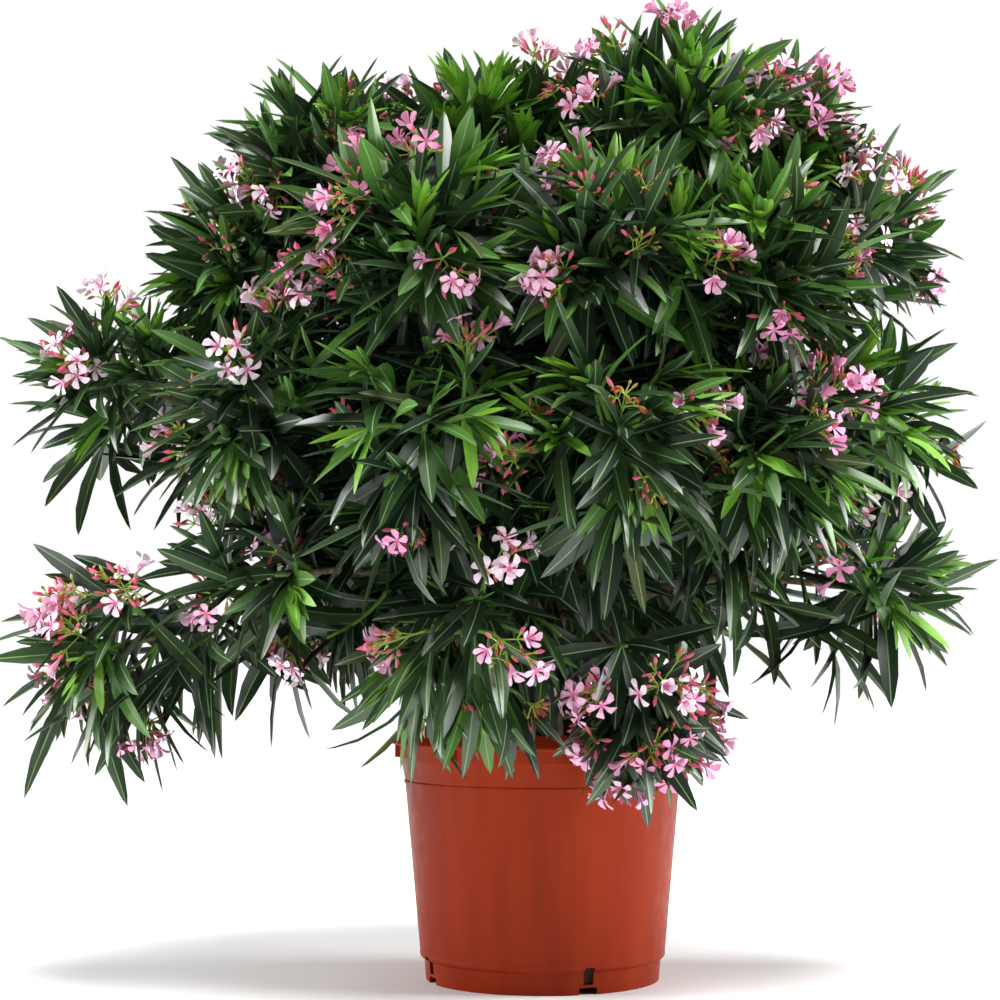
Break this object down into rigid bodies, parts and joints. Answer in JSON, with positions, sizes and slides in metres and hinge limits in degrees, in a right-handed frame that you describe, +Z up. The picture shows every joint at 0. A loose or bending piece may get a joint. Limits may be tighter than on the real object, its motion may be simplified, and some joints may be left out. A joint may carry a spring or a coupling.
{
  "type": "potted oleander",
  "caption": "Bushy flowering oleander with pink blossom, grown from many stems in a round terracotta-coloured nursery pot that stands on its flat foot.",
  "frame": {"origin": "centre of the pot's flat underside, which stands on the ground", "axes": "+Z up, -Y the front of the bush as it is shown, +X to its right seen from the front"},
  "size_m": [1.3414, 1.099, 1.2782],
  "materials": {
    "pot_plastic": "satin injection-moulded polypropylene",
    "potting_mix": "rough composted bark and peat",
    "bark": "smooth matte olive-brown bark",
    "foliage": "leathery satin leaves with soft blossom"
  },
  "bodies": {
    "root": {"pot": "pot_plastic", "potting_mix": "potting_mix", "stem_top_left": "bark", "stem_top_left_back": "bark", "stem_top_centre": "bark", "stem_top_right": "bark", "stem_top_right_back": "bark", "stem_left_upper": "bark", "stem_left_arm": "bark", "stem_right_upper_arm": "bark", "stem_right_middle": "bark", "stem_front_middle_left": "bark", "stem_front_middle_right": "bark", "stem_back_centre": "bark", "bough_front_upper_left": "bark", "bough_front_upper_right": "bark", "bough_top_right_outer": "bark", "bough_right_front_upper": "bark", "bough_left_front_middle": "bark", "bough_left_low_arm": "bark", "bough_right_low_arm": "bark", "bough_right_front_middle": "bark", "bough_left_low_front": "bark", "bough_front_low": "bark", "bough_front_low_right": "bark", "bough_back_left": "bark", "bough_back_right": "bark", "bough_back_low_left": "bark", "bough_back_low_right": "bark", "foliage_top_left": "foliage", "foliage_top_left_back": "foliage", "foliage_top_centre": "foliage", "foliage_top_right": "foliage", "foliage_top_right_outer": "foliage", "foliage_top_right_back": "foliage", "foliage_left_upper": "foliage", "foliage_left_arm": "foliage", "foliage_left_low_arm": "foliage", "foliage_front_upper_left": "foliage", "foliage_front_upper_right": "foliage", "foliage_right_front_upper": "foliage", "foliage_right_upper_arm": "foliage", "foliage_right_middle": "foliage", "foliage_left_front_middle": "foliage", "foliage_front_middle_left": "foliage", "foliage_front_middle_right": "foliage", "foliage_right_front_middle": "foliage", "foliage_left_low_front": "foliage", "foliage_front_low": "foliage", "foliage_front_low_right": "foliage", "foliage_right_low_arm": "foliage", "foliage_back_left": "foliage", "foliage_back_centre": "foliage", "foliage_back_right": "foliage", "foliage_back_low_left": "foliage", "foliage_back_low_right": "foliage"}
  },
  "joints": []
}
